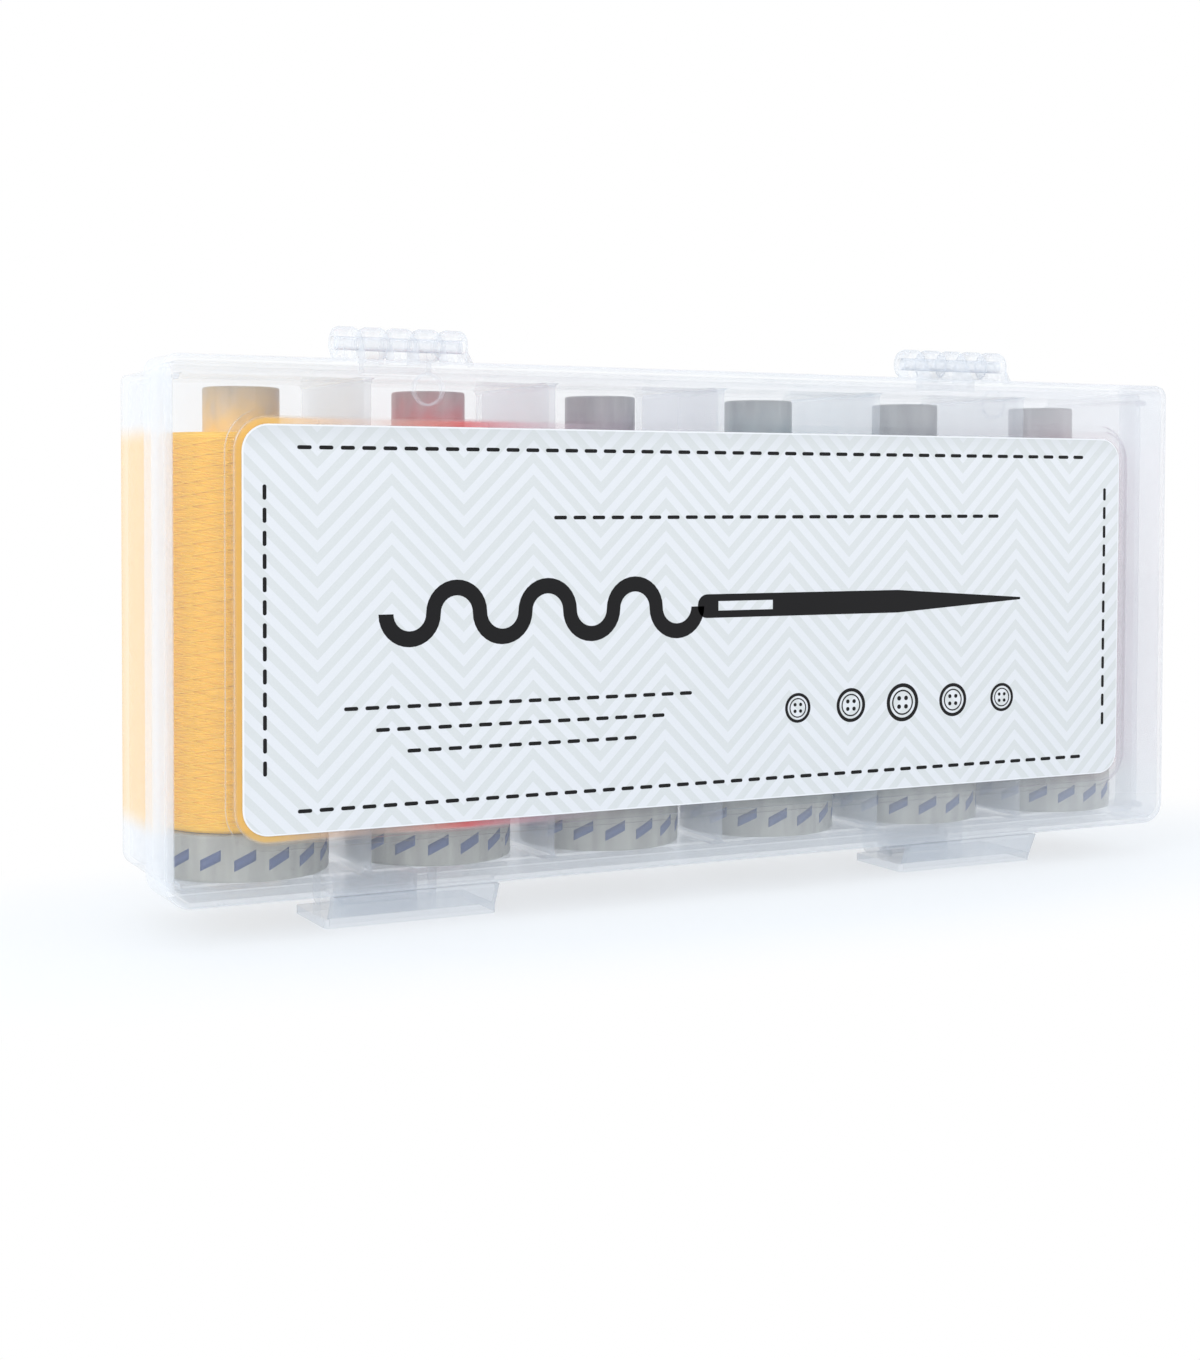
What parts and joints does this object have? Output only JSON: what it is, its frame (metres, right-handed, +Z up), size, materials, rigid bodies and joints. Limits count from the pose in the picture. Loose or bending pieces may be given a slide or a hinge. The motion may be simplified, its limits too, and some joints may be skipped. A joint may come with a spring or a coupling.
{
  "type": "thread box",
  "caption": "Clear hinged storage box with snap latches that serve as feet, a sunk label panel in the lid and a row of cells that each hold a wound spool of sewing thread.",
  "frame": {"origin": "on the floor under the middle of the box, half way between the lid's front and the tray's back", "axes": "+X along the row of spools, +Y from the lid to the tray's back, +Z up"},
  "size_m": [0.1936, 0.034, 0.0952],
  "materials": {
    "clear_plastic": "clear, slightly milky",
    "label_card": "coated card",
    "spool_plastic": "moulded",
    "thread_1": "wound sewing thread",
    "thread_2": "wound sewing thread",
    "thread_3": "wound sewing thread",
    "thread_4": "wound sewing thread",
    "thread_5": "wound sewing thread",
    "thread_6": "wound sewing thread"
  },
  "bodies": {
    "tray": {"base_tray": "clear_plastic"},
    "lid": {"lid": "clear_plastic", "label": "label_card", "hinge_pin_left": "clear_plastic", "hinge_pin_right": "clear_plastic"},
    "latch_left": {"latch_left": "clear_plastic"},
    "latch_right": {"latch_right": "clear_plastic"},
    "spool_1": {"foot_1": "spool_plastic", "tube_1": "spool_plastic", "thread_1": "thread_1", "turns_1": "thread_1"},
    "spool_2": {"foot_2": "spool_plastic", "tube_2": "spool_plastic", "thread_2": "thread_2", "turns_2": "thread_2"},
    "spool_3": {"foot_3": "spool_plastic", "tube_3": "spool_plastic", "thread_3": "thread_3", "turns_3": "thread_3"},
    "spool_4": {"foot_4": "spool_plastic", "tube_4": "spool_plastic", "thread_4": "thread_4", "turns_4": "thread_4"},
    "spool_5": {"foot_5": "spool_plastic", "tube_5": "spool_plastic", "thread_5": "thread_5", "turns_5": "thread_5"},
    "spool_6": {"foot_6": "spool_plastic", "tube_6": "spool_plastic", "thread_6": "thread_6", "turns_6": "thread_6"}
  },
  "joints": [
    {"name": "lid_hinge", "type": "hinge", "parent": "tray", "child": "lid", "pos_m": [0, -0.0043, 0.09253], "axis": [-1, 0, 0], "range_deg": [0, 180]},
    {"name": "latch_left_swing", "type": "hinge", "parent": "tray", "child": "latch_left", "pos_m": [-0.055, 0.0064, 0.00251], "axis": [1, 0, 0], "range_deg": [0, 110]},
    {"name": "latch_right_swing", "type": "hinge", "parent": "tray", "child": "latch_right", "pos_m": [0.055, 0.0064, 0.00251], "axis": [1, 0, 0], "range_deg": [0, 110]},
    {"name": "spool_1_turn", "type": "hinge", "parent": "tray", "child": "spool_1", "pos_m": [-0.07995, 0.00035, 0.00884], "axis": [0, 0, 1], "continuous": true},
    {"name": "spool_2_turn", "type": "hinge", "parent": "tray", "child": "spool_2", "pos_m": [-0.04797, 0.00035, 0.00884], "axis": [0, 0, 1], "continuous": true},
    {"name": "spool_3_turn", "type": "hinge", "parent": "tray", "child": "spool_3", "pos_m": [-0.01599, 0.00035, 0.00884], "axis": [0, 0, 1], "continuous": true},
    {"name": "spool_4_turn", "type": "hinge", "parent": "tray", "child": "spool_4", "pos_m": [0.01599, 0.00035, 0.00884], "axis": [0, 0, 1], "continuous": true},
    {"name": "spool_5_turn", "type": "hinge", "parent": "tray", "child": "spool_5", "pos_m": [0.04797, 0.00035, 0.00884], "axis": [0, 0, 1], "continuous": true},
    {"name": "spool_6_turn", "type": "hinge", "parent": "tray", "child": "spool_6", "pos_m": [0.07995, 0.00035, 0.00884], "axis": [0, 0, 1], "continuous": true}
  ]
}
